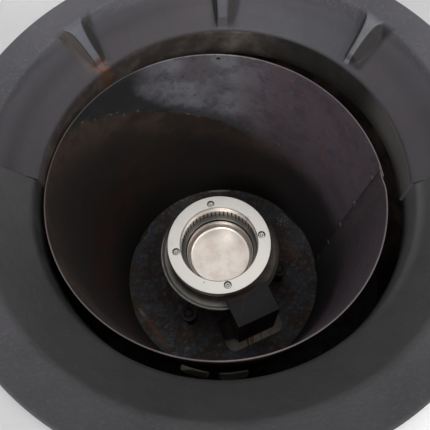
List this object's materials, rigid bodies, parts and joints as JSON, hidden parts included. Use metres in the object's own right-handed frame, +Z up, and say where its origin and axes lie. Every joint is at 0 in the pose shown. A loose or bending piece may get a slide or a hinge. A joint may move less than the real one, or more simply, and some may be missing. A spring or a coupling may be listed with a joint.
{
  "type": "wok range",
  "caption": "Free-standing wok range with a cast ring over a deep burner well, gas controls, air shutter, drip tray and levelling legs.",
  "frame": {"origin": "on the floor under the middle of the body, on the burner's axis", "axes": "+Z up, -Y towards the cook and the knobs, +Y towards the splashback and the gas inlet, +X to the cook's right"},
  "size_m": [0.7, 0.84, 1],
  "materials": {
    "worktop_steel": "brushed satin, light marks",
    "panel_steel": "brushed satin",
    "frame_steel": "drawn tube, satin",
    "zinc_steel": "zinc plated",
    "ring_iron": "rough flange, smoother heat-darkened seat",
    "drum_steel": "heat-stained sheet",
    "liner_steel": "heat-tinted sheet with rust flecks and soot",
    "floor_steel": "scaled plate with orange rust streaks",
    "burner_bright": "turned bright face",
    "burner_iron": "heat-browned casting",
    "screw_steel": "bright cap screws",
    "pilot_steel": "dark scaled sheet",
    "brass": "machined",
    "copper_tube": "drawn tube",
    "insulator": "glazed ceramic",
    "tube_iron": "cast, dark",
    "shutter_steel": "plain sheet",
    "pipe_steel": "galvanised pipe",
    "knob_plastic": "black, matt",
    "spindle_steel": "ground",
    "button_plastic": "red, glossy",
    "tray_steel": "grease-stained sheet"
  },
  "bodies": {
    "range": {"worktop": "worktop_steel", "splashback": "worktop_steel", "front_panel": "worktop_steel", "left_side_panel": "panel_steel", "right_side_panel": "panel_steel", "back_panel": "panel_steel", "leg_front_left": "frame_steel", "leg_front_right": "frame_steel", "leg_back_left": "frame_steel", "leg_back_right": "frame_steel", "cross_bars": "frame_steel", "tray_runners": "frame_steel", "pipe_clips": "frame_steel", "jam_nuts": "zinc_steel", "panel_screws": "zinc_steel", "chamber_drum": "drum_steel", "floor_plate": "floor_steel", "burner_head_ring": "burner_bright", "port_ring": "burner_bright", "burner_cup": "burner_bright", "burner_body": "burner_iron", "burner_posts": "burner_iron", "burner_screws": "screw_steel", "burner_bolts": "screw_steel", "pilot_shield": "pilot_steel", "pilot_bracket": "pilot_steel", "gas_injector": "brass", "pilot_burner": "brass", "gas_valve": "brass", "pilot_valve": "brass", "injector_block": "brass", "pilot_tube": "copper_tube", "thermocouple": "copper_tube", "spark_electrode": "insulator", "mixing_tube": "tube_iron", "mouth_plate": "tube_iron", "gas_manifold": "pipe_steel", "pipe_elbow": "pipe_steel", "supply_pipe": "pipe_steel", "feed_pipe": "pipe_steel", "igniter_body": "knob_plastic"},
    "ring": {"wok_ring": "ring_iron"},
    "liner": {"liner": "liner_steel", "liner_rivets": "liner_steel"},
    "gas_control": {"gas_knob": "knob_plastic", "gas_spindle": "spindle_steel"},
    "pilot_control": {"pilot_knob": "knob_plastic", "pilot_spindle": "spindle_steel"},
    "igniter_push": {"ignition_button": "button_plastic"},
    "shutter": {"air_shutter": "shutter_steel"},
    "tray": {"drip_tray": "tray_steel", "tray_handle": "tray_steel"},
    "foot_front_left": {"foot_front_left": "zinc_steel"},
    "foot_front_right": {"foot_front_right": "zinc_steel"},
    "foot_back_left": {"foot_back_left": "zinc_steel"},
    "foot_back_right": {"foot_back_right": "zinc_steel"}
  },
  "joints": [
    {"name": "ring_lift", "type": "slide", "parent": "range", "child": "ring", "axis": [0, 0, 1], "range_m": [0, 0.15]},
    {"name": "liner_lift", "type": "slide", "parent": "range", "child": "liner", "axis": [0, 0, 1], "range_m": [0, 0.36]},
    {"name": "gas_knob_turn", "type": "hinge", "parent": "range", "child": "gas_control", "pos_m": [0.12, -0.38, 0.73], "axis": [0, -1, 0], "range_deg": [0, 90]},
    {"name": "pilot_knob_turn", "type": "hinge", "parent": "range", "child": "pilot_control", "pos_m": [0.042, -0.38, 0.73], "axis": [0, -1, 0], "range_deg": [0, 90]},
    {"name": "ignition_push", "type": "slide", "parent": "range", "child": "igniter_push", "axis": [0, 1, 0], "range_m": [0, 0.006], "stiffness_N_per_m": 300},
    {"name": "shutter_turn", "type": "hinge", "parent": "range", "child": "shutter", "pos_m": [0, -0.301, 0.43], "axis": [0, -1, 0], "range_deg": [-30, 30]},
    {"name": "tray_pull", "type": "slide", "parent": "range", "child": "tray", "axis": [0, -1, 0], "range_m": [0, 0.3]},
    {"name": "foot_front_left_turn", "type": "hinge", "parent": "range", "child": "foot_front_left", "pos_m": [-0.3262, -0.3662, 0.06], "axis": [0, 0, 1], "range_deg": [-180, 180]},
    {"name": "foot_front_right_turn", "type": "hinge", "parent": "range", "child": "foot_front_right", "pos_m": [0.3262, -0.3662, 0.06], "axis": [0, 0, 1], "range_deg": [-180, 180]},
    {"name": "foot_back_left_turn", "type": "hinge", "parent": "range", "child": "foot_back_left", "pos_m": [-0.3262, 0.3662, 0.06], "axis": [0, 0, 1], "range_deg": [-180, 180]},
    {"name": "foot_back_right_turn", "type": "hinge", "parent": "range", "child": "foot_back_right", "pos_m": [0.3262, 0.3662, 0.06], "axis": [0, 0, 1], "range_deg": [-180, 180]}
  ]
}
